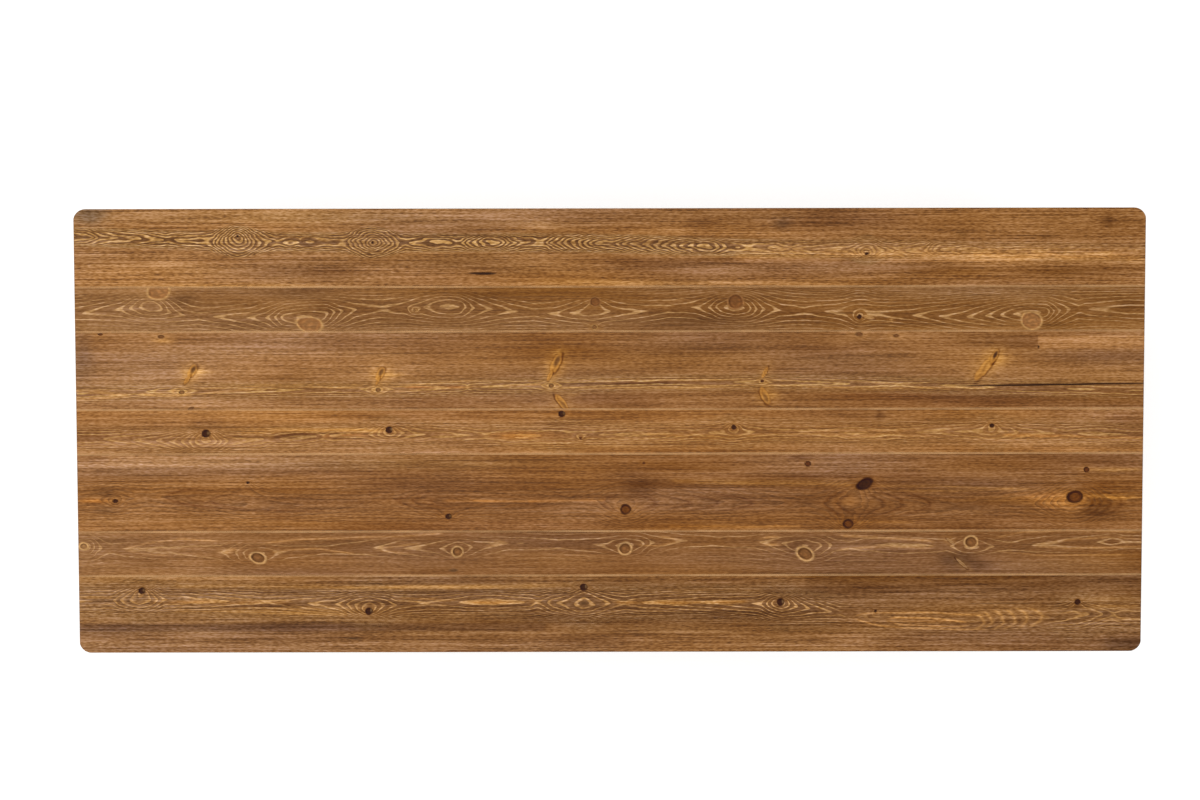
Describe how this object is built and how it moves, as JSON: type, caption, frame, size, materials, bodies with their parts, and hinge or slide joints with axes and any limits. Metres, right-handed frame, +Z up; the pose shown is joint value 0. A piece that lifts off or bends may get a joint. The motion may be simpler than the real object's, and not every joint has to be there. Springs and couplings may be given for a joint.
{
  "type": "folding farm table",
  "caption": "Long rustic pine table of wide and narrow boards, with a skirt and square wooden leg frames that fold flat under the top on pivot bolts and steel stays.",
  "frame": {"origin": "on the floor, under the middle of the top", "axes": "+X along the boards, +Y towards the back edge (upper edge of the picture), +Z up"},
  "size_m": [2.4384, 1.016, 0.762],
  "materials": {
    "top_wood": "brushed and stained pine, satin lacquer",
    "frame_wood": "stained pine, satin lacquer",
    "stay_steel": "black powder coat",
    "zinc_hardware": "zinc plated",
    "glide_plastic": "moulded nylon"
  },
  "bodies": {
    "top": {"apron_back": "frame_wood", "apron_front": "frame_wood", "apron_left": "frame_wood", "apron_right": "frame_wood", "batten_left": "frame_wood", "batten_right": "frame_wood", "batten_screws": "zinc_hardware", "board_1": "top_wood", "board_2": "top_wood", "board_3": "top_wood", "board_4": "top_wood", "board_5": "top_wood", "board_6": "top_wood", "board_7": "top_wood", "bracket_screws": "zinc_hardware", "cross_rail_centre": "frame_wood", "cross_rail_left": "frame_wood", "cross_rail_right": "frame_wood", "glue_blocks": "frame_wood", "pivot_bolts": "zinc_hardware", "pivot_nuts": "zinc_hardware", "pivot_washers": "zinc_hardware", "stay_bracket_back_left": "stay_steel", "stay_bracket_back_right": "stay_steel", "stay_bracket_front_left": "stay_steel", "stay_bracket_front_right": "stay_steel", "stay_rivets": "zinc_hardware"},
    "leg_frame_left": {"leg_front_left": "frame_wood", "leg_back_left": "frame_wood", "leg_rail_left": "frame_wood", "stretcher_left": "frame_wood", "floor_glides_left": "glide_plastic", "stay_studs_left": "zinc_hardware"},
    "upper_stay_front_left": {"upper_link_front_left": "stay_steel", "knuckle_rivet_front_left": "zinc_hardware"},
    "lower_stay_front_left": {"lower_link_front_left": "stay_steel"},
    "upper_stay_back_left": {"upper_link_back_left": "stay_steel", "knuckle_rivet_back_left": "zinc_hardware"},
    "lower_stay_back_left": {"lower_link_back_left": "stay_steel"},
    "leg_frame_right": {"leg_front_right": "frame_wood", "leg_back_right": "frame_wood", "leg_rail_right": "frame_wood", "stretcher_right": "frame_wood", "floor_glides_right": "glide_plastic", "stay_studs_right": "zinc_hardware"},
    "upper_stay_front_right": {"upper_link_front_right": "stay_steel", "knuckle_rivet_front_right": "zinc_hardware"},
    "lower_stay_front_right": {"lower_link_front_right": "stay_steel"},
    "upper_stay_back_right": {"upper_link_back_right": "stay_steel", "knuckle_rivet_back_right": "zinc_hardware"},
    "lower_stay_back_right": {"lower_link_back_right": "stay_steel"}
  },
  "joints": [
    {"name": "leg_fold_left", "type": "hinge", "parent": "top", "child": "leg_frame_left", "pos_m": [-1.08322, 0, 0.6769], "axis": [0, -1, 0], "range_deg": [0, 90]},
    {"name": "upper_stay_swing_front_left", "type": "hinge", "parent": "top", "child": "upper_stay_front_left", "pos_m": [-0.75322, -0.342, 0.6769], "axis": [0, -1, 0], "range_deg": [-36.04, 0]},
    {"name": "lower_stay_swing_front_left", "type": "hinge", "parent": "leg_frame_left", "child": "lower_stay_front_left", "pos_m": [-1.08322, -0.3464, 0.4369], "axis": [0, -1, 0], "range_deg": [0, 53.98]},
    {"name": "upper_stay_swing_back_left", "type": "hinge", "parent": "top", "child": "upper_stay_back_left", "pos_m": [-0.75322, 0.342, 0.6769], "axis": [0, -1, 0], "range_deg": [-36.04, 0]},
    {"name": "lower_stay_swing_back_left", "type": "hinge", "parent": "leg_frame_left", "child": "lower_stay_back_left", "pos_m": [-1.08322, 0.3464, 0.4369], "axis": [0, -1, 0], "range_deg": [0, 53.98]},
    {"name": "leg_fold_right", "type": "hinge", "parent": "top", "child": "leg_frame_right", "pos_m": [1.08322, 0, 0.6769], "axis": [0, 1, 0], "range_deg": [0, 90]},
    {"name": "upper_stay_swing_front_right", "type": "hinge", "parent": "top", "child": "upper_stay_front_right", "pos_m": [0.75322, -0.342, 0.6769], "axis": [0, 1, 0], "range_deg": [-36.04, 0]},
    {"name": "lower_stay_swing_front_right", "type": "hinge", "parent": "leg_frame_right", "child": "lower_stay_front_right", "pos_m": [1.08322, -0.3464, 0.4369], "axis": [0, 1, 0], "range_deg": [0, 53.98]},
    {"name": "upper_stay_swing_back_right", "type": "hinge", "parent": "top", "child": "upper_stay_back_right", "pos_m": [0.75322, 0.342, 0.6769], "axis": [0, 1, 0], "range_deg": [-36.04, 0]},
    {"name": "lower_stay_swing_back_right", "type": "hinge", "parent": "leg_frame_right", "child": "lower_stay_back_right", "pos_m": [1.08322, 0.3464, 0.4369], "axis": [0, 1, 0], "range_deg": [0, 53.98]}
  ],
  "couplings": [
    {"joint": "upper_stay_swing_front_left", "follows": "leg_fold_left", "ratio": -0.4003},
    {"joint": "lower_stay_swing_front_left", "follows": "leg_fold_left", "ratio": 0.5997},
    {"joint": "upper_stay_swing_back_left", "follows": "leg_fold_left", "ratio": -0.4003},
    {"joint": "lower_stay_swing_back_left", "follows": "leg_fold_left", "ratio": 0.5997},
    {"joint": "upper_stay_swing_front_right", "follows": "leg_fold_right", "ratio": -0.4003},
    {"joint": "lower_stay_swing_front_right", "follows": "leg_fold_right", "ratio": 0.5997},
    {"joint": "upper_stay_swing_back_right", "follows": "leg_fold_right", "ratio": -0.4003},
    {"joint": "lower_stay_swing_back_right", "follows": "leg_fold_right", "ratio": 0.5997}
  ]
}
